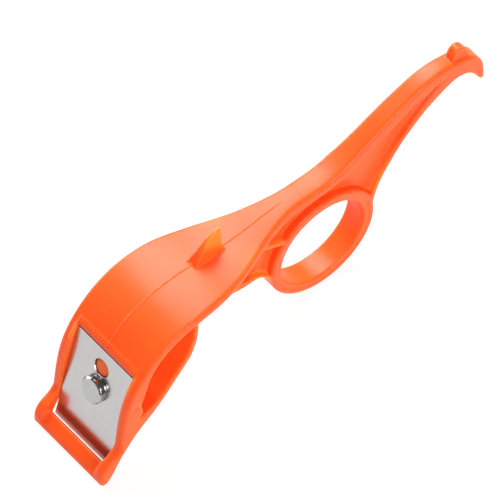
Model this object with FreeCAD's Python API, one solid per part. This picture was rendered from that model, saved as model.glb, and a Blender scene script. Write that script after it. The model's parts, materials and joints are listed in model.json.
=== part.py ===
import FreeCAD, Part
import math
import os

V = FreeCAD.Vector

# Hand deburring tool: one moulded handle, one flat steel blade, one pressed-in stud.
# Working frame: X runs from the blade head (-X) to the hook (+X), Y is the finger-ring
# axis, Z is up, origin at the ring centre.  All sizes are millimetres.
# The finished pieces are then tipped onto the ring and the toe bar, as the tool lies on
# a bench: the bench is Z = 0, and X = 0 is the middle of the tool's length.

# ---- finger ring ----
RING_INNER_R = 12.5
RING_OUTER_R = 15.5
RING_HALF = 3.1
RING_EDGE = 0.8

# ---- head, body shell and sole ----
HEAD_HALF = 12.6
TONGUE_CENTRE_X = -42.4
TRIM_LOW = 22.0
TRIM_HIGH = 32.8
TRIM_REACH = 13.5
TOE_X = -76.6

# ---- centre web, lower flange and recesses ----
WEB_HALF = 1.1
FRAME_BACK_X = -33.0
RIB_FOOT = V(-6.0, 0, 13.6)
RIB_TOP = V(-16.0, 0, 26.0)
RIB_HALF = 0.65

# ---- blade and its seat ----
BLADE_TOP = V(-53.4, 0, 34.7)
BLADE_EDGE = V(-72.0, 0, 12.1)
BLADE_HALF = 10.0
BLADE_THICK = 0.9
BLADE_LAND = 0.15
BLADE_BEVEL = 23.0
POCKET_GAP = 0.12
POCKET_PAST_EDGE = 6.0
POCKET_CLEAR = 14.0
LEDGE_RISE = -0.2
LEDGE_LENGTH = 3.2
MOUTH_BACK = -70.0
MOUTH_FRONT = -72.7
BAR_TOP = 14.9
BAR_BLOCK = 10.0
MOUTH_ABOVE_BAR = 1.0

# ---- locating boss, stud and the boss behind it ----
HOLE_R = 2.4
HOLE_DOWN = 5.3
PEG_R = 2.3
PEG_SUNK = 0.3
PEG_ROOT = 0.5
STUD_DOWN = 12.0
STUD_HEAD_R = 3.5
STUD_HEAD_RISE = 1.8
STUD_RIM = 0.35
STUD_NECK_R = 3.25
STUD_NECK_RISE = 0.45
SHANK_R = 1.5
SHANK_LENGTH = 5.2
SHANK_POINT = 0.5
BACK_BOSS_R = 3.6
BACK_BOSS_LENGTH = 4.6

# ---- fin on the back: half widths at its front face and rear edge, low and high ----
FIN_HALF = 1.8
FIN_FRONT_X = -26.4
FIN_REAR_X = -14.2
FIN_LOW = 28.0
FIN_LOW_FRONT_HALF = 2.7
FIN_LOW_REAR_HALF = 1.15
FIN_HIGH = 38.8
FIN_HIGH_FRONT_HALF = 0.75
FIN_HIGH_REAR_HALF = 0.25

# ---- sight knob above the hook ----
KNOB_HALF = 1.4

# ---- resting pose ----
REST_STEPS = 200

# ---- reach of the cutting blocks beyond the tool ----
CLEAR_X = 100.0
CLEAR_LOW = -30.0
CLEAR_HIGH = 60.0
OVERCUT = 1.0

# Side outlines, as (x, z) points in the working frame.
TOP_LINE = [(4, 22), (-2, 24.65), (-10, 27.2), (-16, 29.3), (-22, 32.1), (-28, 35.4), (-33, 37.4),
            (-40, 38.8), (-46, 38.2), (-52, 35.9), (-58, 31.7), (-62, 27.05), (-65.5, 21.7),
            (-67.2, 18.9)]
TOE_LINE = [(-67.2, 18.9), (-69.2, 17.7), (-72, 17.3), (-74.2, 16.4), (-75.6, 14.9), (TOE_X, 12.9)]
TOE_NOSE = [(TOE_X, 12.9), (-76.3, 11.9), (-75.2, 11.4)]
SOLE_LINE = [(-75.2, 11.4), (-73, 12.4), (-70, 14.4), (-66, 16.7), (-61, 18.8), (-55, 20.3),
             (-49, 22.6), (-43, 25.3), (-37, 27.8), (-30.4, 30.2)]
TONGUE_END = [(-30.4, 30.2), (-29.8, 31.1), (-30.5, 31.8)]
TONGUE_TOP = [(-30.5, 31.8), (-35, 30.4), (-41, 28.1), (-48, 25.1), (-53, 23), (-58.4, 22.7)]
THROAT_ROOT = [(-58.4, 22.7), (-59.1, 23), (-58.4, 23.4)]
THROAT_LOBE = [(-58.4, 23.4), (-57.2, 24.2), (-56.8, 25.6), (-56.1, 27.5)]
UNDERSIDE = [(-56.1, 27.5), (-54, 29.6), (-52, 31.7), (-49, 34.3), (-46, 35.7), (-41.5, 36.5),
             (-37, 36.1), (-31, 34.1), (-25, 31.2), (-16, 27.4), (-7, 23.9), (4, 18.6)]

ARM_TOP = [(-16.4, 28.5), (-6, 25.5), (4, 22), (8, 20.1), (11.5, 18.9), (17, 18.1), (30, 18.1),
           (38, 17.7), (44, 16.9), (48, 15.25), (51, 13.3), (54, 11.2)]
HOOK_OUTER = [(54, 11.2), (55.6, 9.2), (56.3, 6.4), (56.2, 4), (55.5, 1.6), (54.5, -0.8)]
HOOK_TIP = [(54.5, -0.8), (53.8, -1.4), (53.1, -0.9)]
HOOK_INNER = [(53.1, -0.9), (52.9, 1.5), (52.3, 4.5), (51, 6.5), (49, 7.9), (45.5, 8.5), (41, 8.6),
              (36, 7.8), (30, 5.9), (24, 3), (19.5, 0.3), (16.4, -2.4), (14.95, -4.1)]
RING_LOW = V(0, 0, -RING_OUTER_R)
WEB_FRONT = [(-15, 3.9), (-15.3, 7.5), (-16.6, 10.7), (-19, 12.1), (-22, 13.8), (-26, 18),
             (-29, 25), (-31, 35)]

ARM_RECESS_TOP = [(-18, 31), (-6, 23.8), (4, 18.8), (11, 16.1), (18, 15), (30, 14.5), (38, 14.2),
                  (44, 13), (47.5, 11.9)]
ARM_RECESS_LOW = [(47.5, 11.9), (39, 11), (33, 9.3), (27, 6.4), (20.5, 2.6), (16.5, -0.6)]
WEB_RECESS_FRONT = [(-14.2, 7.2), (-16.8, 12.2), (-20.8, 16), (-24.4, 19.7), (-27.3, 26),
                    (-29.4, 35)]

FIN_LEAD = [(-25.8, 34), (-22.8, 35.8), (-19.8, 37.4), (-16.6, 38.3), (-14.6, 37.9)]
FIN_TRAIL = [(-14.6, 37.9), (-15.4, 35.4), (-16.4, 32.2), (-17.2, 29.4)]
KNOB_OUTLINE = [(49.8, 12.4), (51.2, 14.1), (52.4, 15.3), (53.6, 15.75), (54.8, 15.2),
                (55.5, 13.6), (55.4, 11), (54.6, 9)]

# Plan outlines, as (x, half width) points.
BODY_PLAN = [(6, 3), (1.5, 3.2), (-2, 3.7), (-6, 4.7), (-10, 6), (-16, 8.45), (-21, 10.25),
             (-26, 11.55), (-32, 12.35), (-40, HEAD_HALF)]
ARM_PLAN = [(16, RING_HALF), (21, 2.8), (33, 2.6), (42, 2.42), (48, 2.25), (57.5, 2.1)]


def at(x, z, y=0.0):
    return V(x, y, z)


def curve(points, y=0.0):
    """Smooth edge in a side plane through (x, z) points."""
    spline = Part.BSplineCurve()
    spline.interpolate([at(x, z, y) for x, z in points])
    return spline.toShape()


def straight(first, last):
    return Part.LineSegment(first, last).toShape()


def side_solid(edges, half):
    """Closed side outline drawn at Y = 0, thickened equally to both sides."""
    face = Part.Face(Part.Wire(Part.__sortEdges__(edges)))
    face.translate(V(0, -half, 0))
    return face.extrude(V(0, 2 * half, 0))


def plan_solid(points, back_x):
    """Symmetric plan outline, squared off at back_x, as a tall block."""
    end_x, end_half = points[-1]
    first_x, first_half = points[0]
    away = V(math.copysign(1, end_x - first_x), 0, 0)
    sides = []
    for side in (1, -1):
        spline = Part.BSplineCurve()
        spline.interpolate(Points=[V(x, side * half, CLEAR_LOW) for x, half in points],
                           InitialTangent=away, FinalTangent=away)
        sides.append(spline.toShape())
    edges = [*sides,
             straight(V(first_x, first_half, CLEAR_LOW), V(first_x, -first_half, CLEAR_LOW)),
             straight(V(end_x, end_half, CLEAR_LOW), V(back_x, end_half, CLEAR_LOW)),
             straight(V(end_x, -end_half, CLEAR_LOW), V(back_x, -end_half, CLEAR_LOW)),
             straight(V(back_x, end_half, CLEAR_LOW), V(back_x, -end_half, CLEAR_LOW))]
    face = Part.Face(Part.Wire(Part.__sortEdges__(edges)))
    return face.extrude(V(0, 0, CLEAR_HIGH - CLEAR_LOW))


def cylinder(radius, start, direction, length):
    return Part.makeCylinder(radius, length, start, direction)


# Blade axes: DOWN runs along the blade to its cutting edge, OUT leaves its front face.
BLADE_LENGTH = BLADE_TOP.distanceToPoint(BLADE_EDGE)
DOWN = (BLADE_EDGE - BLADE_TOP).normalize()
OUT = V(DOWN.z, 0, -DOWN.x)


def on_blade(down, out, y=0.0):
    """Point measured down the blade from its top edge and out from its front face."""
    return BLADE_TOP + DOWN * down + OUT * out + V(0, y, 0)


def blade_block(down_from, down_to, out_from, out_to, half):
    corners = [on_blade(down_from, out_from, -half), on_blade(down_to, out_from, -half),
               on_blade(down_to, out_to, -half), on_blade(down_from, out_to, -half)]
    face = Part.Face(Part.makePolygon(corners + corners[:1]))
    return face.extrude(V(0, 2 * half, 0))


def make_body_shell():
    """Arched back, blade arms, toe and sole tongue, one bent plate in side view."""
    outline = [curve(TOP_LINE), curve(TOE_LINE), curve(TOE_NOSE), curve(SOLE_LINE),
               curve(TONGUE_END), curve(TONGUE_TOP), curve(THROAT_ROOT), curve(THROAT_LOBE),
               curve(UNDERSIDE), straight(at(*UNDERSIDE[-1]), at(*TOP_LINE[0]))]
    plate = side_solid(outline, HEAD_HALF)
    return plate.common(plan_solid(BODY_PLAN, TOE_X - OVERCUT))


def tongue_trim():
    """Corner pieces that leave the free end of the sole tongue round in plan."""
    base = at(TONGUE_CENTRE_X, TRIM_LOW)
    rise = TRIM_HIGH - TRIM_LOW
    block = Part.makeBox(TRIM_REACH, 2 * TRIM_REACH, rise, base - V(0, TRIM_REACH, 0))
    return block.cut(cylinder(HEAD_HALF, base, V(0, 0, 1), rise))


def make_lower_frame():
    """Ring, arm, hook and centre web below the body shell."""
    hook = [curve(ARM_TOP), curve(HOOK_OUTER), curve(HOOK_TIP), curve(HOOK_INNER)]
    ring_start = at(*HOOK_INNER[-1])
    ring_end = at(*WEB_FRONT[0])
    ring = [Part.Arc(ring_start, RING_LOW, ring_end).toShape()]
    web = [curve(WEB_FRONT), straight(at(*WEB_FRONT[-1]), at(*ARM_TOP[0]))]
    frame = side_solid(hook + ring + web, RING_HALF)
    return frame.common(plan_solid(list(reversed(ARM_PLAN)), FRAME_BACK_X))


def rib_side(offset):
    """Foot and top of one face of the cross rib."""
    along = (RIB_TOP - RIB_FOOT).normalize()
    across = V(along.z, 0, -along.x) * offset
    return RIB_FOOT + across, RIB_TOP + across


def make_recesses():
    """Side recesses of the frame, both sides, down to the centre web."""
    depth = RING_HALF
    foot, top = rib_side(RIB_HALF)
    lead = straight(foot, top)
    arm = [curve(ARM_RECESS_TOP), curve(ARM_RECESS_LOW), lead,
           straight(top, at(*ARM_RECESS_TOP[0])), straight(foot, at(*ARM_RECESS_LOW[-1]))]
    foot, top = rib_side(-RIB_HALF)
    web = [curve(WEB_RECESS_FRONT), straight(foot, top), straight(top, at(*WEB_RECESS_FRONT[-1])),
           straight(foot, at(*WEB_RECESS_FRONT[0]))]
    ring = cylinder(RING_OUTER_R, V(0, -2 * depth, 0), V(0, 1, 0), 4 * depth)
    core = Part.makeBox(2 * CLEAR_X, 2 * WEB_HALF, CLEAR_HIGH - CLEAR_LOW,
                        V(-CLEAR_X, -WEB_HALF, CLEAR_LOW))
    cuts = side_solid(arm, 2 * depth).fuse(side_solid(web, 2 * depth))
    return cuts.cut(ring).cut(core)


def make_fin():
    """Curved horn, wide at its front face and narrow at its tip and rear edge."""
    outline = [curve(FIN_LEAD), curve(FIN_TRAIL),
               straight(at(*FIN_TRAIL[-1]), at(*FIN_LEAD[0]))]
    blank = side_solid(outline, FIN_HALF)
    sections = []
    for z, front_half, rear_half in ((FIN_LOW, FIN_LOW_FRONT_HALF, FIN_LOW_REAR_HALF),
                                     (FIN_HIGH, FIN_HIGH_FRONT_HALF, FIN_HIGH_REAR_HALF)):
        corners = [V(FIN_FRONT_X, -front_half, z), V(FIN_REAR_X, -rear_half, z),
                   V(FIN_REAR_X, rear_half, z), V(FIN_FRONT_X, front_half, z)]
        sections.append(Part.makePolygon(corners + corners[:1]))
    return blank.common(Part.makeLoft(sections, True, True))


def make_knob():
    points = [at(x, z) for x, z in KNOB_OUTLINE]
    spline = Part.BSplineCurve()
    spline.interpolate(points)
    outline = [spline.toShape(), straight(points[-1], points[0])]
    return side_solid(outline, KNOB_HALF)


def make_pocket():
    """Space for the blade, the ledge above it, and the room between the blade arms."""
    half = BLADE_HALF + POCKET_GAP
    reach = BLADE_LENGTH + POCKET_PAST_EDGE
    pocket = blade_block(-POCKET_GAP, reach, -BLADE_THICK, POCKET_CLEAR, half)
    ledge = blade_block(-LEDGE_LENGTH, reach, LEDGE_RISE, POCKET_CLEAR, half)
    bar = Part.makeBox(BAR_BLOCK, 2 * half, BAR_BLOCK,
                       V(MOUTH_FRONT - BAR_BLOCK, -half, BAR_TOP - BAR_BLOCK))
    mouth = Part.makeBox(MOUTH_BACK - MOUTH_FRONT, 2 * half, BAR_BLOCK,
                         V(MOUTH_FRONT, -half, BAR_TOP + MOUTH_ABOVE_BAR - BAR_BLOCK))
    return pocket.fuse(ledge).cut(bar).fuse(mouth)


def make_handle():
    shell = make_body_shell().cut(tongue_trim())
    frame = make_lower_frame().cut(make_recesses())
    handle = shell.fuse(frame)
    handle = handle.fuse(cylinder(RING_OUTER_R, V(0, -RING_HALF, 0), V(0, 1, 0), 2 * RING_HALF))
    handle = handle.cut(cylinder(RING_INNER_R, V(0, -RING_HALF, 0), V(0, 1, 0), 2 * RING_HALF))
    handle = handle.fuse(make_fin()).fuse(make_knob())
    boss = cylinder(BACK_BOSS_R, on_blade(STUD_DOWN, -BLADE_THICK), -OUT, BACK_BOSS_LENGTH)
    handle = handle.fuse(boss).cut(make_pocket())
    peg = cylinder(PEG_R, on_blade(HOLE_DOWN, -BLADE_THICK - PEG_ROOT), OUT,
                   BLADE_THICK + PEG_ROOT - PEG_SUNK)
    handle = handle.fuse(peg)
    bore = cylinder(SHANK_R, on_blade(STUD_DOWN, 0), -OUT, SHANK_LENGTH)
    handle = handle.cut(bore).removeSplitter()
    rims = [edge for edge in handle.Edges
            if isinstance(edge.Curve, Part.Circle) and edge.Curve.Radius == RING_INNER_R]
    return handle.makeFillet(RING_EDGE, rims)


def make_blade():
    """Flat rectangular blade, ground on its underside to a cutting edge."""
    half = BLADE_HALF
    bevel_run = BLADE_THICK / math.tan(math.radians(BLADE_BEVEL))
    profile = [on_blade(0, 0, -half), on_blade(BLADE_LENGTH, 0, -half),
               on_blade(BLADE_LENGTH, -BLADE_LAND, -half),
               on_blade(BLADE_LENGTH - bevel_run, -BLADE_THICK, -half),
               on_blade(0, -BLADE_THICK, -half)]
    face = Part.Face(Part.makePolygon(profile + profile[:1]))
    plate = face.extrude(V(0, 2 * half, 0))
    for down, radius in ((HOLE_DOWN, HOLE_R), (STUD_DOWN, SHANK_R)):
        plate = plate.cut(cylinder(radius, on_blade(down, OVERCUT), -OUT,
                                   BLADE_THICK + 2 * OVERCUT))
    return plate


def make_stud():
    """Flat polished head on a short neck, with a plain shank pressed into the handle."""
    base = on_blade(STUD_DOWN, 0)
    neck = cylinder(STUD_NECK_R, base, OUT, STUD_NECK_RISE)
    body = cylinder(STUD_HEAD_R, base + OUT * STUD_NECK_RISE, OUT,
                    STUD_HEAD_RISE - STUD_NECK_RISE - STUD_RIM)
    rim = Part.makeCone(STUD_HEAD_R, STUD_HEAD_R - STUD_RIM, STUD_RIM,
                        base + OUT * (STUD_HEAD_RISE - STUD_RIM), OUT)
    shank = cylinder(SHANK_R, base, -OUT, SHANK_LENGTH - SHANK_POINT)
    point = Part.makeCone(SHANK_R, SHANK_R - SHANK_POINT, SHANK_POINT,
                          base - OUT * (SHANK_LENGTH - SHANK_POINT), -OUT)
    return neck.fuse(body).fuse(rim).fuse(shank).fuse(point).removeSplitter()


def rest_tilt():
    """Angle at which the toe or sole first meets the bench the ring stands on."""
    under = []
    for points in (TOE_NOSE, SOLE_LINE):
        under += curve(points).discretize(REST_STEPS)
    tilts = [math.atan2(point.z, -point.x) + math.asin(RING_OUTER_R / point.Length)
             for point in under]
    return math.degrees(min(tilts))


def main():
    os.makedirs("parts", exist_ok=True)
    pieces = {"handle": make_handle(), "blade": make_blade(), "blade_stud": make_stud()}
    for shape in pieces.values():
        shape.rotate(V(0, 0, 0), V(0, 1, 0), -rest_tilt())
    box = pieces["handle"].optimalBoundingBox(False, False)
    for name, shape in pieces.items():
        shape.translate(V(-box.Center.x, 0, RING_OUTER_R))
        shape.exportStep("parts/" + name + ".step")


main()
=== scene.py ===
import json
import math

import bmesh
import bpy
import numpy as np
from mathutils import Matrix, Vector


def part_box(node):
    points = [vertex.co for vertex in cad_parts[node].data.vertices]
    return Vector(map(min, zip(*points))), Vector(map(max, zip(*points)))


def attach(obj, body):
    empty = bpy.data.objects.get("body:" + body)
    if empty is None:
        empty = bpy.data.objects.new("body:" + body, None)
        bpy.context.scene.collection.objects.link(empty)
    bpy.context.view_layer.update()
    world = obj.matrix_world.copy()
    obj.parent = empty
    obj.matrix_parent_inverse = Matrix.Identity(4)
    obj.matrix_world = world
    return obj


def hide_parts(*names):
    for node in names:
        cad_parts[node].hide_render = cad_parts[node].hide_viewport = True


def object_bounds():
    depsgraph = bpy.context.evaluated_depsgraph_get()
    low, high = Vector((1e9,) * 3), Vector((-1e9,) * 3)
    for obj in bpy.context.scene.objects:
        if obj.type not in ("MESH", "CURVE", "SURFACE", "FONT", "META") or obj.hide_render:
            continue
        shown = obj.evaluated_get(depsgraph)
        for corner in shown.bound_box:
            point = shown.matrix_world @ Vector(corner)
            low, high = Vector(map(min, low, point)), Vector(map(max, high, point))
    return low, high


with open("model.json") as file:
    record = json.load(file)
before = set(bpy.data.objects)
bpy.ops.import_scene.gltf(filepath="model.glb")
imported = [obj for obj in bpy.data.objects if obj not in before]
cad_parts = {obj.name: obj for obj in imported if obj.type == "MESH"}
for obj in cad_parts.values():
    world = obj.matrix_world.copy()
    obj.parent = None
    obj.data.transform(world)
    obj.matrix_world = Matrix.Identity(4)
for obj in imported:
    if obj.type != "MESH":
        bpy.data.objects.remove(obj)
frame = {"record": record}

# Looks of the deburring tool. Lengths are millimetres in the tool frame: origin at the ring's
# centre, x from head to hook, y across, z up. placed() lays them on the bench, in metres.
# The handle is a distance field, negative inside, built one side slice at a time and then meshed.

cad_low, cad_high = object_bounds()

# ---------- sizes ----------

RING_BORE = 12.5
RING_OUT = 15.5
RING_HALF = 3.1
RING_MIDDLE = (RING_BORE + RING_OUT) / 2
RING_WALL = RING_OUT - RING_BORE
RING_SIDE = RING_HALF + 0.1    # the rounded ring stands this far out from the middle plane
ARM_EXTRA = 0.12               # the rounded arm is this much fuller on each side
HEAD_HALF = 12.6
WEB_HALF = 1.1                 # half thickness left under the side recesses

BLADE_TOP = (-53.4, 34.7)
BLADE_EDGE = (-72.0, 12.1)
BLADE_HALF = 10.0
BLADE_THICK = 0.9
BLADE_BEVEL = (0.08, 0.15)     # inwards and down, round the upper face
GROUND_ANGLE = math.radians(23)
HOLE_DOWN = 5.3
HOLE_R = 2.4
PEG_R = 2.3
PEG_SPAN = (-1.2, -0.3)        # heights from the blade's upper face
STUD_DOWN = 12.0
STUD_BOSS_R = 3.6
STUD_BOSS_SPAN = (-BLADE_THICK - 4.6, -0.5)
SHANK_R = 1.55
SHANK_SPAN = (-5.25, 0.05)
STUD_EDGE = 0.05

POCKET_SIDE = BLADE_HALF + 0.12
POCKET_GAP = 0.3               # dark line above the blade
POCKET_MOUTH = 0.05
POCKET_DEPTH = BLADE_THICK + 0.02
SLOT_FLOOR = (-70.0, 5.0)
ABOVE = 60.0                   # clear of the tool
AHEAD = -95.0

# a FADE or ENDS runs softly from its first place to its second
CROWN = (0.2, 0.035)           # height in the middle: a base, and a part of the half width
CROWN_FADE = (-72, -60)
HEAD_CROWN = 0.45              # the head is flatter than the back by this factor
HEAD_FADE = (-52, -44)
LIP_HEIGHT = 0.3               # raised edge of the back, over the pocket
LIP_FADE = (-50.9, -51.5)
LIP_LOW_FADE = (-58, -56)
LIP_ENDS = (10.9, 10.3)
SEAM_HEIGHT = 0.12             # parting line along the back
SEAM_HALF = 0.2
SEAM_TOE_FADE = (-74, -70)
SEAM_RING_FADE = (2, -4)
BODY_FILLET = (0.05, 0.8)      # between body and arm, at the ring and at the head
BODY_FILLET_FADE = (-2, -8)
ARM_CROWN = 0.3
TONGUE_CENTRE = -42.0          # the tongue ends in a half circle about here
TONGUE_END_X = -28.9
TONGUE_HEIGHTS = (22, 32.8)
RECESS_END = RING_OUT - 0.1    # the side recesses stop at the ring
DIMPLE = (-57.5, 28.1)
DIMPLE_R = 2.9
DIMPLE_DEPTH = 0.3

FIN_FOOT = 28.0
FIN_HEIGHT = 10.8
FIN_START = -26.4
FIN_LENGTH = 12.2
FIN_FRONT = (3.3, 0.75)        # half widths at foot and top
FIN_REAR = (0.4, 0.25)
KNOB_HALF = 1.4
KNOB_FOOT = 11
KNOB_TAPER = 0.02

# edge radii and the fillets where one thing meets another
FIN_EDGE, FIN_FILLET = 0.22, 0.6
KNOB_EDGE, KNOB_FILLET = 0.4, 0.3
BAND_EDGE, BAND_FILLET = 0.75, 0.5
BORE_EDGE = 0.5
BORE_REACH = RING_MIDDLE + 0.2    # the rounding of the bore shapes the ring out to here
BOSS_EDGE, BOSS_FILLET = 0.3, 0.5
PEG_EDGE = 0.15
DIMPLE_EDGE = 0.15
RECESS_FLOOR, RECESS_SIDE, RECESS_RIM = 1.5, 0.2, 0.35

# ---------- side outlines, each run starting where the one before it ends ----------

TOP = [(4, 22), (-2, 24.65), (-10, 27.2), (-16, 29.3), (-22, 32.1), (-28, 35.4), (-33, 37.4),
       (-40, 38.8), (-46, 38.2), (-52, 35.9), (-58, 31.7), (-62, 27.05), (-65.5, 21.7), (-67.2, 18.9)]
TOE = [TOP[-1], (-69.2, 17.7), (-72, 17.3), (-74.2, 16.4), (-75.6, 14.9), (-76.6, 12.9)]
NOSE = [TOE[-1], (-76.3, 11.9), (-75.2, 11.4)]
SOLE = [NOSE[-1], (-73, 12.4), (-70, 14.4), (-66, 16.7), (-61, 18.8), (-55, 20.3), (-49, 22.6),
        (-43, 25.3), (-37, 27.8), (-30.0, 30.35)]
TONGUE_END = [SOLE[-1], (-29.4, 31.2), (-30.1, 31.9)]
TONGUE = [TONGUE_END[-1], (-35, 30.4), (-41, 28.1), (-48, 25.1), (-53, 23), (-58.4, 22.7)]
ROOT = [TONGUE[-1], (-59.1, 23), (-58.4, 23.4)]
LOBE = [ROOT[-1], (-57.2, 24.2), (-56.8, 25.6), (-56.1, 27.5)]
UNDER = [LOBE[-1], (-54, 29.6), (-52, 31.7), (-49, 34.3), (-46, 35.7), (-41.5, 36.5), (-37, 36.1),
         (-31, 34.1), (-25, 31.2), (-16, 27.4), (-7, 23.9), (4, 18.6)]

ARM = [(-16.4, 28.5), (-6, 25.5), (4, 22), (8, 20.1), (11.5, 18.9), (17, 18.1), (30, 18.1), (38, 17.7),
       (44, 16.9), (48, 15.25), (51, 13.3), (54, 11.2)]
HOOK_OUT = [ARM[-1], (55.6, 9.2), (56.3, 6.4), (56.2, 4), (55.5, 1.6), (54.5, -0.8)]
HOOK_TIP = [HOOK_OUT[-1], (53.8, -1.4), (53.1, -0.9)]
HOOK_IN = [HOOK_TIP[-1], (52.9, 1.5), (52.3, 4.5), (51, 6.5), (49, 7.9), (45.5, 8.5), (41, 8.6),
           (36, 7.8), (30, 5.9), (24, 3), (19.5, 0.3), (16.4, -2.4), (14.95, -4.1)]
WEB = [(-15, 3.9), (-15.3, 7.5), (-16.6, 10.7), (-19, 12.1), (-22, 13.8), (-26, 18), (-29, 25),
       (-31, 35)]

CUT_TOP = [(-18, 31), (-6, 23.8), (4, 18.8), (11, 16.1), (18, 15), (30, 14.5), (38, 14.2), (44, 13),
           (47.5, 11.9)]
CUT_LOW = [CUT_TOP[-1], (39, 11), (33, 9.3), (27, 6.4), (20.5, 2.6), (16.5, -0.6)]
CUT_WEB = [(-14.2, 7.2), (-16.8, 12.2), (-20.8, 16), (-24.4, 19.7), (-27.3, 26), (-29.4, 35)]
RIB_FOOT = np.array((-6.0, 13.6))
RIB_TOP = np.array((-16.0, 26.0))
RIB_HALF = 0.65

FIN_LEAD = [(-25.8, 34), (-22.8, 36.0), (-19.8, 37.6), (-16.4, 38.4), (-14.2, 37.9)]
FIN_TRAIL = [FIN_LEAD[-1], (-15.2, 35.4), (-16.6, 32.2), (-17.6, 29.4)]
KNOB = [(49.8, 12.4), (51.2, 14.1), (52.4, 15.3), (53.6, 15.75), (54.8, 15.2), (55.5, 13.6), (55.4, 11),
        (54.6, 9)]

FACET = [(-52.4, 36.5), (-50.5, 40.4)]
BAR_TOP = [(-77.2, 13.5), (-75.5, 14.3), (-74, 14.8), (-72.8, 14.95), (-72.4, 14.87), (-72.25, 14.5)]

# half widths along the tool, as (x, half width)
BODY_PLAN = [(6, 3), (1.5, 3.2), (-2, 3.7), (-6, 4.7), (-10, 6), (-16, 8.45), (-21, 10.25),
             (-26, 11.55), (-32, 12.35), (-40, HEAD_HALF)]
ARM_PLAN = [(16, RING_HALF), (21, 2.8), (33, 2.6), (42, 2.42), (48, 2.25), (57.5, 2.1)]

# (radius, height above the blade) up the outside of the stud
STUD = [(0.02, -5.18), (1.0, -5.18), (1.49, -4.7), (1.49, 0.0), (3.2, 0.02), (3.2, 0.42),
        (3.48, 0.5), (3.48, 1.42), (3.15, 1.78), (0.02, 1.79)]

# ---------- how the tool lies on the bench ----------

ring_centre = np.array(frame["record"]["mounts"][0]["pos_m"]) * 1000
blade_rise = (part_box("blade")[1].z * 1000 - ring_centre[2]) / math.hypot(*BLADE_TOP)
TILT = math.pi - math.asin(blade_rise) - math.atan2(BLADE_TOP[1], BLADE_TOP[0])


def turned(p):
    """Directions of the tool frame, one per row, as they lie on the bench."""
    x, y, z = np.asarray(p, float).T
    cos, sin = math.cos(TILT), math.sin(TILT)
    return np.stack([x * cos - z * sin, y, x * sin + z * cos], -1)


def placed(p):
    """Points of the tool frame, one per row, in metres on the bench."""
    return (turned(p) + ring_centre) / 1000


blade_run = np.array(BLADE_EDGE) - np.array(BLADE_TOP)
BLADE_LENGTH = np.hypot(*blade_run)
down = blade_run / BLADE_LENGTH
out = np.array((down[1], -down[0]))


def on_blade(along, away):
    """Side point this far down the blade and this far off its upper face."""
    return np.array(BLADE_TOP) + down * along + out * away


def blade_point(along, away, y):
    """The same point at y across the tool."""
    x, z = on_blade(along, away)
    return np.array((x, y, z))


# ---------- outlines as distance fields ----------

def spline(points, step=0.12):
    """Natural cubic through the points, sampled about every step."""
    p = np.array(points, float)
    d = np.r_[0, np.cumsum(np.hypot(*np.diff(p, axis=0).T))]
    n, h = len(p), np.diff(d)
    a, b = np.zeros((n, n)), np.zeros((n, 2))
    a[0, 0] = a[-1, -1] = 1
    for i in range(1, n - 1):
        a[i, i - 1:i + 2] = h[i - 1], 2 * (h[i - 1] + h[i]), h[i]
        b[i] = 6 * ((p[i + 1] - p[i]) / h[i] - (p[i] - p[i - 1]) / h[i - 1])
    m = np.linalg.solve(a, b)
    t = np.linspace(0, d[-1], max(3, int(d[-1] / step)))
    i = np.clip(np.searchsorted(d, t) - 1, 0, n - 2)
    u, w, g = (t - d[i])[:, None], (d[i + 1] - t)[:, None], h[i][:, None]
    cubic = (m[i] * w ** 3 + m[i + 1] * u ** 3) / (6 * g)
    return cubic + (p[i] / g - m[i] * g / 6) * w + (p[i + 1] / g - m[i + 1] * g / 6) * u


def line(a, b, step=0.3):
    """Straight run from a to b, sampled about every step."""
    a, b = np.array(a, float), np.array(b, float)
    return a + (b - a) * np.linspace(0, 1, max(2, int(np.hypot(*(b - a)) / step)))[:, None]


def lines(*corners):
    """Straight runs through the corners."""
    return np.vstack([line(a, b) for a, b in zip(corners, corners[1:])])


def arc(radius, start, stop, count=90):
    """Arc about the ring's centre between two angles."""
    t = np.linspace(start, stop, count)
    return np.c_[radius * np.cos(t), radius * np.sin(t)]


def nearest(path, spots, batch=6000):
    """Index of the path point nearest to each spot, worked out in batches to save memory."""
    near = np.empty(len(spots), int)
    for k in range(0, len(spots), batch):
        part = spots[k:k + batch]
        near[k:k + batch] = ((path ** 2).sum(1) - 2 * part @ path.T).argmin(1)
    return near


def side_field(runs, x, z):
    """Signed distance to a closed outline, then each value that its runs carry, at every point."""
    path = np.vstack([run for run, *_ in runs])
    carried = np.vstack([np.tile(values, (len(run), 1)) for run, *values in runs])
    loop = np.vstack([path, path[:1]])
    spots = np.c_[x.ravel(), z.ravel()]
    near = nearest(path, spots)
    best = np.full(len(spots), np.inf)
    for shift in (-2, -1, 0, 1):
        i = (near + shift) % len(path)
        a, ab = loop[i], loop[i + 1] - loop[i]
        t = np.clip(((spots - a) * ab).sum(1) / np.maximum((ab ** 2).sum(1), 1e-12), 0, 1)
        best = np.minimum(best, np.hypot(*(spots - a - ab * t[:, None]).T))
    sign = np.ones(x.shape)
    (xa, za), (xb, zb) = loop[:-1].T, loop[1:].T
    for k, level in enumerate(z[0]):
        hit = (za <= level) != (zb <= level)
        share = (level - za[hit]) / (zb - za)[hit]
        crossings = np.sort(xa[hit] + share * (xb - xa)[hit])
        sign[:, k] = 1 - 2 * (np.searchsorted(crossings, x[:, k]) % 2)
    return (best.reshape(x.shape) * sign, *[values[near].reshape(x.shape) for values in carried.T])


def outline(*runs):
    """Signed distance to a closed outline whose runs carry no values."""
    return side_field([(run,) for run in runs], X, Z)[0]


def smooth(a, b, t):
    """Soft step from 0 at a to 1 at b; a may be the larger."""
    t = np.clip((t - a) / (b - a), 0, 1)
    return t * t * (3 - 2 * t)


def mix(pair, share):
    """From the first of the pair at 0 to the second at 1."""
    return pair[0] + (pair[1] - pair[0]) * share


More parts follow.
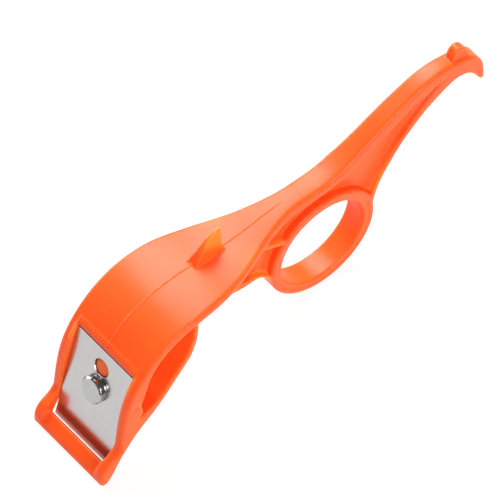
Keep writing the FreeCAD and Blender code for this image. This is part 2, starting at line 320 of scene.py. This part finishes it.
def both(a, b, r):
    """Inside both fields, with the edge between them rounded to r."""
    return np.minimum(-r, np.maximum(a, b)) + np.hypot(np.maximum(a + r, 0), np.maximum(b + r, 0))


def either(a, b, r):
    """Inside either field, with a fillet of r between them."""
    return np.maximum(r, np.minimum(a, b)) - np.hypot(np.maximum(r - a, 0), np.maximum(r - b, 0))


def between(values, span):
    """Field of the layer between two heights."""
    low, high = span
    return np.maximum(values - high, low - values)


def flat(value):
    """The same value over the whole side plane."""
    return np.full_like(X, value)


def half_width(plan):
    """Half width of the tool over the side plane, from points along it."""
    x, half = spline(plan, 0.2).T
    order = np.argsort(x)
    return np.interp(X, x[order], half[order])


# ---------- grid ----------

# it reaches past the tool on every side, and is finer near the middle plane, for the parting line

STEP = 0.3
gx = np.arange(-78.0, 58.0, STEP)
gz = np.arange(-16.6, 40.2, STEP)
gy = np.r_[0, 0.07, 0.14, 0.24, 0.4, 0.65, np.arange(0.95, 13.3, STEP)]
X, Z = np.meshgrid(gx, gz, indexing="ij")
radius = np.hypot(X, Z)
blade_along = (X - BLADE_TOP[0]) * down[0] + (Z - BLADE_TOP[1]) * down[1]
blade_away = (X - BLADE_TOP[0]) * out[0] + (Z - BLADE_TOP[1]) * out[1]

# ---------- handle: what is the same in every slice ----------

# each run of the shell carries its edge radius and its share of the crown
shell, shell_edge, shell_crown = side_field(
    [(spline(TOP), 0.7, 1.0), (spline(TOE), 0.9, 0.35), (spline(NOSE), 0.7, 0.0), (spline(SOLE), 0.5, 0.0),
     (spline(TONGUE_END), 0.5, 0.0), (spline(TONGUE), 0.5, 0.0), (spline(ROOT), 0.3, 0.0),
     (spline(LOBE), 0.4, 0.0), (spline(UNDER), 0.4, 0.0), (line(UNDER[-1], TOP[0]), 0.3, 1.0)], X, Z)
width = half_width(BODY_PLAN)
on_top = shell_crown > 0
crown = shell_crown * (CROWN[0] + CROWN[1] * width) * smooth(*CROWN_FADE, X)
crown *= mix((HEAD_CROWN, 1), smooth(*HEAD_FADE, X))
lip = LIP_HEIGHT * smooth(*LIP_FADE, X) * smooth(*LIP_LOW_FADE, X) * on_top
seam = SEAM_HEIGHT * smooth(*SEAM_TOE_FADE, X) * smooth(*SEAM_RING_FADE, X) * on_top
on_tongue = (X > TONGUE_CENTRE) & (X < TONGUE_END_X) & (Z > TONGUE_HEIGHTS[0]) & (Z < TONGUE_HEIGHTS[1])

# each run of the ring, arm and web carries its edge radius and its crown
ring_start = math.atan2(HOOK_IN[-1][1], HOOK_IN[-1][0])
ring_stop = math.atan2(WEB[0][1], WEB[0][0]) - 2 * math.pi
lower, lower_edge, lower_crown = side_field(
    [(spline(ARM), 0.85, ARM_CROWN), (spline(HOOK_OUT), 0.5, 0), (spline(HOOK_TIP), 0.4, 0),
     (spline(HOOK_IN), 0.5, 0), (arc(RING_OUT, ring_start, ring_stop), 0.75, 0),
     (spline(WEB), 0.6, 0), (line(WEB[-1], ARM[0]), 0.6, 0)], X, Z)
arm_half = half_width(ARM_PLAN) + ARM_EXTRA
body_fillet = mix(BODY_FILLET, smooth(*BODY_FILLET_FADE, X))

# side recesses, with the cross rib left standing between them
along_rib = (RIB_TOP - RIB_FOOT) / np.hypot(*(RIB_TOP - RIB_FOOT))
across_rib = np.array((along_rib[1], -along_rib[0])) * RIB_HALF
arm_recess = outline(spline(CUT_TOP), spline(CUT_LOW),
                     lines(CUT_LOW[-1], RIB_FOOT + across_rib, RIB_TOP + across_rib, CUT_TOP[0]))
web_recess = outline(spline(CUT_WEB),
                     lines(CUT_WEB[-1], RIB_TOP - across_rib, RIB_FOOT - across_rib, CUT_WEB[0]))

fin = outline(spline(FIN_LEAD), spline(FIN_TRAIL), line(FIN_TRAIL[-1], FIN_LEAD[0]))
fin_rise = np.clip((Z - FIN_FOOT) / FIN_HEIGHT, 0, 1)
fin_half = mix((mix(FIN_FRONT, fin_rise), mix(FIN_REAR, fin_rise)),
               np.clip((X - FIN_START) / FIN_LENGTH, 0, 1))

knob = outline(spline(KNOB), line(KNOB[-1], KNOB[0]))
knob_half = KNOB_HALF - KNOB_TAPER * np.maximum(Z - KNOB_FOOT, 0)

# each run of the blade pocket carries the radius at its sides and at its rim
gap = on_blade(-POCKET_GAP, POCKET_MOUTH)
seat_top = on_blade(-POCKET_GAP, -POCKET_DEPTH)
seat_low = seat_top + down * ((SLOT_FLOOR[0] - seat_top[0]) / down[0])
pocket, pocket_side, pocket_rim = side_field(
    [(lines(gap, *FACET), 0.1, 0.25), (lines(FACET[-1], (FACET[-1][0], ABOVE), (AHEAD, ABOVE)), 0.1, 0.3),
     (lines((AHEAD, ABOVE), (AHEAD, BAR_TOP[0][1]), BAR_TOP[0]), 1.3, 0.5), (spline(BAR_TOP), 1.3, 0.5),
     (lines(BAR_TOP[-1], (BAR_TOP[-1][0], SLOT_FLOOR[1]), SLOT_FLOOR, seat_low), 0.1, 0.15),
     (line(seat_low, seat_top), 0.1, 0.3), (line(seat_top, gap), 0.1, 0.15)], X, Z)


# ---------- handle: one function for each thing in a slice ----------

def body_at(y):
    """Head and back: crowned, with a lip over the pocket and the parting line in the middle."""
    side = np.where(on_tongue, np.hypot(X - TONGUE_CENTRE, y) - HEAD_HALF, y - width)
    raised = crown * np.clip(1 - (y / width) ** 2, 0, 1)
    raised = raised + seam * max(0.0, 1 - y / SEAM_HALF) + lip * smooth(*LIP_ENDS, y)
    return both(shell - raised, side, shell_edge)


def arm_at(y):
    """Ring disc, arm, hook and web, with the side recesses."""
    raised = lower_crown * max(0.0, 1 - (y / RING_HALF) ** 2)
    field = both(lower - raised, y - arm_half, lower_edge)
    for recess in (arm_recess, web_recess):
        hollow = both(both(recess, WEB_HALF - y, RECESS_FLOOR), RECESS_END - radius, RECESS_SIDE)
        field = both(field, -hollow, RECESS_RIM)
    return field


def with_ring(field, y):
    """Adds the round band of the ring and bores it, with rounded edges."""
    side = flat(y - RING_SIDE)
    band = both(np.abs(radius - RING_MIDDLE) - RING_WALL / 2, side, BAND_EDGE)
    field = np.maximum(either(field, band, BAND_FILLET), RING_BORE - radius)
    bore = both(RING_BORE - radius, side, BORE_EDGE)
    return np.where(radius < BORE_REACH, np.maximum(field, bore), field)


def stud_boss_at(y):
    """Boss behind the blade that takes the stud's shank."""
    round_side = np.hypot(blade_along - STUD_DOWN, y) - STUD_BOSS_R
    return both(round_side, between(blade_away, STUD_BOSS_SPAN), BOSS_EDGE)


def pocket_at(y):
    """Pocket that the blade lies in."""
    return both(pocket, flat(y - POCKET_SIDE), pocket_side)


def peg_at(y):
    """Locating peg in the blade's hole."""
    round_side = np.hypot(blade_along - HOLE_DOWN, y) - PEG_R
    return both(round_side, between(blade_away, PEG_SPAN), PEG_EDGE)


def shank_hole_at(y):
    """Hole that the stud is pressed into."""
    return np.maximum(np.hypot(blade_along - STUD_DOWN, y) - SHANK_R, between(blade_away, SHANK_SPAN))


def dimple_at(y):
    """Shallow ball-shaped dish in the side of the head."""
    beside = y - HEAD_HALF - DIMPLE_R + DIMPLE_DEPTH
    return np.sqrt((X - DIMPLE[0]) ** 2 + (Z - DIMPLE[1]) ** 2 + beside ** 2) - DIMPLE_R


def slice_at(y):
    """Field of the whole handle in the side plane at y."""
    field = with_ring(either(body_at(y), arm_at(y), body_fillet), y)
    field = either(field, both(fin, y - fin_half, FIN_EDGE), FIN_FILLET)
    field = either(field, both(knob, y - knob_half, KNOB_EDGE), KNOB_FILLET)
    field = either(field, stud_boss_at(y), BOSS_FILLET)
    field = both(field, -pocket_at(y), pocket_rim)
    field = np.minimum(field, peg_at(y))
    field = np.maximum(field, -shank_hole_at(y))
    return both(field, -dimple_at(y), DIMPLE_EDGE)


# ---------- from field to surface ----------

CORNERS = [(i, j, k) for i in (0, 1) for j in (0, 1) for k in (0, 1)]


def cell_points(field, axes, cells):
    """In each cell, the mean of the places where the level crosses the cell's edges."""
    total, count = np.zeros((len(cells), 3)), np.zeros(len(cells))
    for corner in CORNERS:
        for axis in range(3):
            if corner[axis]:
                continue
            step = np.eye(3, dtype=int)[axis]
            ia, ib = cells + corner, cells + corner + step
            fa, fb = field[tuple(ia.T)], field[tuple(ib.T)]
            hit = (fa < 0) != (fb < 0)
            t = fa[hit] / (fa[hit] - fb[hit])
            pa = np.stack([axes[n][ia[hit, n]] for n in range(3)], 1)
            pb = np.stack([axes[n][ib[hit, n]] for n in range(3)], 1)
            total[hit] += pa + (pb - pa) * t[:, None]
            count[hit] += 1
    return total / count[:, None]


def crossing_quads(inside, ident, axis):
    """One quad, facing outwards, round each grid edge of one direction that the level crosses."""
    lo, hi = [slice(1, -1)] * 3, [slice(1, -1)] * 3
    lo[axis], hi[axis] = slice(0, -1), slice(1, None)
    a, b = inside[tuple(lo)], inside[tuple(hi)]
    u, v = (axis + 1) % 3, (axis + 2) % 3
    quads = []
    for crossed, order in ((a & ~b, 1), (~a & b, -1)):
        at = np.argwhere(crossed)
        at[:, [u, v]] += 1
        around = []
        for du, dv in ((1, 1), (0, 1), (0, 0), (1, 0)):
            cell = at.copy()
            cell[:, u] -= du
            cell[:, v] -= dv
            around.append(ident[tuple(cell.T)])
        quads.append(np.stack(around, 1)[:, ::order])
    return np.vstack(quads)


def surface(field, axes):
    """Closed quad surface of the zero level, with one vertex in each cell that it passes through."""
    inside = field < 0
    nx, ny, nz = (n - 1 for n in field.shape)
    filled = sum(inside[i:nx + i, j:ny + j, k:nz + k].astype(np.int8) for i, j, k in CORNERS)
    mixed = (filled > 0) & (filled < len(CORNERS))
    cells = np.argwhere(mixed)
    ident = np.full(mixed.shape, -1)
    ident[mixed] = np.arange(len(cells))
    quads = np.vstack([crossing_quads(inside, ident, axis) for axis in range(3)])
    return cell_points(field, axes, cells), quads


def sample(grid, axes, points):
    """Trilinear reading of a grid at the points."""
    cell, share = [], []
    for axis, p in zip(axes, points.T):
        i = np.clip(np.searchsorted(axis, p) - 1, 0, len(axis) - 2)
        cell.append(i)
        share.append((p - axis[i]) / (axis[i + 1] - axis[i]))
    value = 0
    for corner in CORNERS:
        weight = np.prod([np.abs(1 - c - s) for c, s in zip(corner, share)], 0)
        value = value + weight * grid[tuple(i + c for i, c in zip(cell, corner))]
    return value


def add_object(name, mesh):
    """Object for a mesh, linked to the scene."""
    made = bpy.data.objects.new(name, mesh)
    bpy.context.scene.collection.objects.link(made)
    return made


def make_handle():
    """Meshes the field, pulls the vertices onto its level and shades them by its slope."""
    half = np.stack([slice_at(y) for y in gy], 1)
    field = np.concatenate([half[:, :0:-1], half], 1)
    axes = (gx, np.r_[-gy[:0:-1], gy], gz)
    points, quads = surface(field, axes)
    slopes = np.gradient(field, *axes)
    furthest, least_slope = 0.08, 0.25
    for _ in range(2):
        steep = np.stack([sample(s, axes, points) for s in slopes], 1)
        size = np.maximum((steep ** 2).sum(1), least_slope)
        move = -(sample(field, axes, points) / size)[:, None] * steep
        points = points + np.clip(move, -furthest, furthest)
    normals = np.stack([sample(s, axes, points) for s in slopes], 1)
    normals /= np.maximum(np.linalg.norm(normals, axis=1), 1e-9)[:, None]
    # 0 where the plastic is thick, towards 1 where it is thin; the plastic material uses this to paint a
    # yellower glow, standing in for light shining through thin parts
    probe = 1.2
    thin = np.clip(1 + sample(field, axes, points - normals * probe) / probe, 0, 1)
    inset = 2e-6
    verts = np.clip(placed(points), np.array(cad_low) + inset, np.array(cad_high) - inset)
    mesh = bpy.data.meshes.new("handle_shape")
    mesh.from_pydata(verts.tolist(), [], quads.tolist())
    mesh.validate()
    mesh.shade_smooth()
    mesh.normals_split_custom_set_from_vertices(turned(normals).tolist())
    mesh.attributes.new("thin", "FLOAT", "POINT").data.foreach_set("value", thin.astype(np.float32))
    return add_object("handle_body", mesh)


# ---------- stud ----------

def rounded(profile, radius, steps=4):
    """Profile with each inner corner replaced by a small curve."""
    p = [np.array(q, float) for q in profile]
    made = [p[0]]
    for a, b, c in zip(p, p[1:], p[2:]):
        ab, cb = np.hypot(*(a - b)), np.hypot(*(c - b))
        r = min(radius, 0.45 * ab, 0.45 * cb)
        start, stop = b + (a - b) / ab * r, b + (c - b) / cb * r
        for s in np.linspace(0, 1, steps):
            made.append((1 - s) ** 2 * start + 2 * s * (1 - s) * b + s ** 2 * stop)
    made.append(p[-1])
    return made


def make_stud(segments=128):
    """Stud turned about its own axis."""
    centre = blade_point(STUD_DOWN, 0, 0)
    up, side, across = np.array((out[0], 0, out[1])), np.array((down[0], 0, down[1])), np.array((0, 1, 0))
    profile = rounded(STUD, STUD_EDGE)
    verts, faces = [], []
    for r, h in profile:
        for k in range(segments):
            t = 2 * math.pi * k / segments
            verts.append(centre + up * h + (side * math.cos(t) + across * math.sin(t)) * r)
    for row in range(0, (len(profile) - 1) * segments, segments):
        for k in range(segments):
            n = (k + 1) % segments
            faces.append((row + k, row + n, row + segments + n, row + segments + k))
    last = (len(profile) - 1) * segments
    faces.append(tuple(range(segments))[::-1])
    faces.append(tuple(range(last, last + segments)))
    mesh = bpy.data.meshes.new("blade_stud_turned_shape")
    mesh.from_pydata(placed(verts).tolist(), [], faces)
    mesh.validate()
    mesh.shade_smooth()
    return add_object("blade_stud_turned", mesh)


# ---------- blade ----------

def circle(centre, r, count=72):
    """Hole in the blade, as (distance down, y)."""
    t = np.linspace(0, 2 * math.pi, count, endpoint=False)
    return [(centre + r * math.cos(k), r * math.sin(k)) for k in t]


def plate_loops(length, half, hole):
    """Outline and two holes of one layer of the blade, as (distance down, y)."""
    corners = [(0, -half), (length, -half), (length, half), (0, half)]
    return [corners, circle(HOLE_DOWN, hole), circle(STUD_DOWN, SHANK_R)]


def make_blade():
    """Flat plate with a fine bevel round its upper face and its underside ground to an edge."""
    bevel_in, bevel_down = BLADE_BEVEL
    ground = BLADE_THICK / math.tan(GROUND_ANGLE)
    plan = [(0, plate_loops(BLADE_LENGTH, BLADE_HALF - bevel_in, HOLE_R + bevel_in)),
            (-bevel_down, plate_loops(BLADE_LENGTH, BLADE_HALF, HOLE_R)),
            (-BLADE_THICK, plate_loops(BLADE_LENGTH - ground, BLADE_HALF, HOLE_R))]
    bm = bmesh.new()
    layers = []
    for away, loops in plan:
        rows = []
        for loop in loops:
            spots = placed([blade_point(along, away, y) for along, y in loop])
            rows.append([bm.verts.new(spot) for spot in spots])
        layers.append(rows)
    for upper, under in zip(layers, layers[1:]):
        for a, b in zip(upper, under):
            for k in range(len(a)):
                n = (k + 1) % len(a)
                bm.faces.new((a[k], a[n], b[n], b[k]))
    for rows in (layers[0], layers[-1]):
        rim = [bm.edges.get((row[k - 1], row[k])) for row in rows for k in range(len(row))]
        bmesh.ops.triangle_fill(bm, use_beauty=True, edges=rim)
    bmesh.ops.recalc_face_normals(bm, faces=bm.faces[:])
    mesh = bpy.data.meshes.new("blade_plate_shape")
    bm.to_mesh(mesh)
    bm.free()
    return add_object("blade_plate", mesh)


# ---------- materials ----------

def material(name):
    """New material, with its node tree and its shader."""
    made = bpy.data.materials.new(name)
    made.use_nodes = True
    return made, made.node_tree, made.node_tree.nodes["Principled BSDF"]


def set_inputs(node, values):
    """Sets a node's inputs by name."""
    for name, value in values.items():
        node.inputs[name].default_value = value


def object_point(tree):
    """Point on the piece, in metres."""
    return tree.nodes.new("ShaderNodeTexCoord").outputs["Object"]


def noise(tree, point, scale, detail=3.0):
    """Cloudy noise from 0 to 1."""
    node = tree.nodes.new("ShaderNodeTexNoise")
    set_inputs(node, {"Scale": scale, "Detail": detail})
    tree.links.new(point, node.inputs["Vector"])
    return node.outputs["Fac"]


def ramp(tree, value, low, high):
    """Colour between two stops, each a place and a colour."""
    node = tree.nodes.new("ShaderNodeValToRGB")
    for element, (place, colour) in zip(node.color_ramp.elements, (low, high)):
        element.position = place
        element.color = (*colour, 1)
    tree.links.new(value, node.inputs["Fac"])
    return node.outputs["Color"]


def spread(tree, value, low, high):
    """Value of 0 to 1 spread from low to high."""
    node = tree.nodes.new("ShaderNodeMapRange")
    set_inputs(node, {"To Min": low, "To Max": high})
    tree.links.new(value, node.inputs["Value"])
    return node.outputs["Result"]


def bump(tree, height, strength, distance):
    """Normal roughened by a height."""
    node = tree.nodes.new("ShaderNodeBump")
    set_inputs(node, {"Strength": strength, "Distance": distance})
    tree.links.new(height, node.inputs["Height"])
    return node.outputs["Normal"]


def blend(tree, share, first, second):
    """From the first colour to the fixed second one."""
    node = tree.nodes.new("ShaderNodeMix")
    node.data_type = "RGBA"
    # the sockets share their names with those for other data types, so they go by number
    factor, a, b, result = node.inputs[0], node.inputs[6], node.inputs[7], node.outputs[2]
    b.default_value = (*second, 1)
    tree.links.new(share, factor)
    tree.links.new(first, a)
    return result


def orange_plastic():
    """Satin moulded plastic, cloudy inside, with painted light: its colour is made yellower where it is
    thin, standing in for light coming through it.
    """
    made, tree, shader = material("orange_plastic")
    point = object_point(tree)
    plain = ramp(tree, noise(tree, point, 45.0), (0.3, (0.93, 0.088, 0.008)), (0.7, (0.95, 0.104, 0.012)))
    # painted glow: thin plastic gets a yellower base colour in place of light shining through it
    thin = tree.nodes.new("ShaderNodeAttribute")
    thin.attribute_name = "thin"
    share = ramp(tree, thin.outputs["Fac"], (0.3, (0, 0, 0)), (0.85, (0.85, 0.85, 0.85)))
    tree.links.new(blend(tree, share, plain, (0.97, 0.24, 0.03)), shader.inputs["Base Color"])
    tree.links.new(spread(tree, noise(tree, point, 900.0), 0.3, 0.4), shader.inputs["Roughness"])
    tree.links.new(bump(tree, noise(tree, point, 2200.0), 0.5, 0.00005), shader.inputs["Normal"])
    set_inputs(shader, {"Subsurface Weight": 0.6, "Subsurface Radius": (1.0, 0.5, 0.15),
                        "Subsurface Scale": 0.0015, "Specular IOR Level": 0.22})
    return made


def blade_steel():
    """Ground steel, with fine grain lines down the blade."""
    made, tree, shader = material("blade_steel")
    turn = tree.nodes.new("ShaderNodeVectorRotate")
    turn.rotation_type = "Y_AXIS"
    turn.inputs["Angle"].default_value = math.atan2(down[1], down[0]) + TILT
    tree.links.new(object_point(tree), turn.inputs["Vector"])
    stretch = tree.nodes.new("ShaderNodeMapping")
    stretch.inputs["Scale"].default_value = (1, 40, 40)
    tree.links.new(turn.outputs["Vector"], stretch.inputs["Vector"])
    grain = noise(tree, stretch.outputs["Vector"], 60.0, 4.0)
    tree.links.new(ramp(tree, grain, (0.25, (0.49, 0.475, 0.475)), (0.75, (0.54, 0.525, 0.525))),
                   shader.inputs["Base Color"])
    tree.links.new(spread(tree, grain, 0.16, 0.24), shader.inputs["Roughness"])
    tree.links.new(bump(tree, grain, 0.08, 0.00002), shader.inputs["Normal"])
    shader.inputs["Metallic"].default_value = 1.0
    return made


def stud_steel():
    """Polished steel with faint scuffs."""
    made, tree, shader = material("stud_steel")
    scuff = noise(tree, object_point(tree), 700.0, 4.0)
    tree.links.new(ramp(tree, scuff, (0.35, (0.42, 0.42, 0.412)), (0.7, (0.48, 0.48, 0.47))),
                   shader.inputs["Base Color"])
    tree.links.new(spread(tree, scuff, 0.05, 0.12), shader.inputs["Roughness"])
    shader.inputs["Metallic"].default_value = 1.0
    return made


def pale_floor():
    """White floor: mostly its own even light, so that it shows white and mirrors grey in the steel."""
    made, tree, shader = material("pale_floor")
    tree.links.new(ramp(tree, noise(tree, object_point(tree), 3.0), (0.3, (0.1,) * 3), (0.7, (0.12,) * 3)),
                   shader.inputs["Base Color"])
    set_inputs(shader, {"Roughness": 1.0, "Specular IOR Level": 0.0,
                        "Emission Color": (1, 1, 1, 1), "Emission Strength": 0.9})
    return made


# ---------- pieces ----------

handle = make_handle()
handle.data.materials.append(orange_plastic())
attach(handle, "root")
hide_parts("handle")

stud = make_stud()
stud.data.materials.append(stud_steel())
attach(stud, "root")
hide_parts("blade_stud")

blade = make_blade()
blade.data.materials.append(blade_steel())
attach(blade, "root")
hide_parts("blade")

# ---------- floor, lights, camera ----------

FLOOR_HALF = 2.0    # metres
floor_mesh = bpy.data.meshes.new("floor_shape")
floor_mesh.from_pydata([(-FLOOR_HALF, -FLOOR_HALF, 0), (FLOOR_HALF, -FLOOR_HALF, 0),
                        (FLOOR_HALF, FLOOR_HALF, 0), (-FLOOR_HALF, FLOOR_HALF, 0)], [], [(0, 1, 2, 3)])
floor = add_object("floor", floor_mesh)
floor.data.materials.append(pale_floor())

world = bpy.data.worlds.new("studio")
bpy.context.scene.world = world
world.use_nodes = True
set_inputs(world.node_tree.nodes["Background"], {"Color": (1, 1, 1, 1), "Strength": 0.2})


def softbox(name, direction, distance, width_m, height_m, power):
    """Area light that shines on the tool from a direction of the tool frame."""
    towards = Vector(turned(direction)).normalized()
    data = bpy.data.lights.new(name, "AREA")
    data.shape = "RECTANGLE"
    data.size = width_m
    data.size_y = height_m
    data.energy = power
    light = add_object(name, data)
    light.location = towards * distance
    light.rotation_mode = "QUATERNION"
    light.rotation_quaternion = towards.to_track_quat("Z", "Y")


softbox("key", (0.6, 0.48, 0.64), 0.8, 0.45, 0.56, 10.5)
softbox("fill", (0.1, -0.9, 0.42), 1.2, 0.8, 0.8, 15.0)
softbox("back", (0.1, 0.96, 0.25), 0.9, 0.9, 0.6, 9.0)

# the camera's own axes in the tool frame; it stands far off, so the view has almost no perspective
RIGHT = np.array((0.6984, -0.6402, -0.3199))
UP = np.array((0.7157, 0.6247, 0.3122))
BACK = np.array((0, -0.447, 0.8945))
DISTANCE = 3000.0
VIEW_WIDTH = 116.82                # millimetres across the picture at the tool
VIEW_CENTRE = (-15.09, -3.76)      # millimetres right and up from the ring's centre
SENSOR = 36.0

camera_data = bpy.data.cameras.new("camera")
camera_data.sensor_width = SENSOR
camera_data.lens = SENSOR * DISTANCE / VIEW_WIDTH
camera_data.clip_start = 0.5
camera_data.clip_end = 20
camera = add_object("camera", camera_data)
stand = RIGHT * VIEW_CENTRE[0] + UP * VIEW_CENTRE[1] + BACK * DISTANCE
facing = Matrix([turned(axis).tolist() for axis in (RIGHT, UP, BACK)]).transposed().to_4x4()
camera.matrix_world = Matrix.Translation(placed(stand)) @ facing
bpy.context.scene.camera = camera
bpy.context.scene.view_settings.view_transform = "Standard"
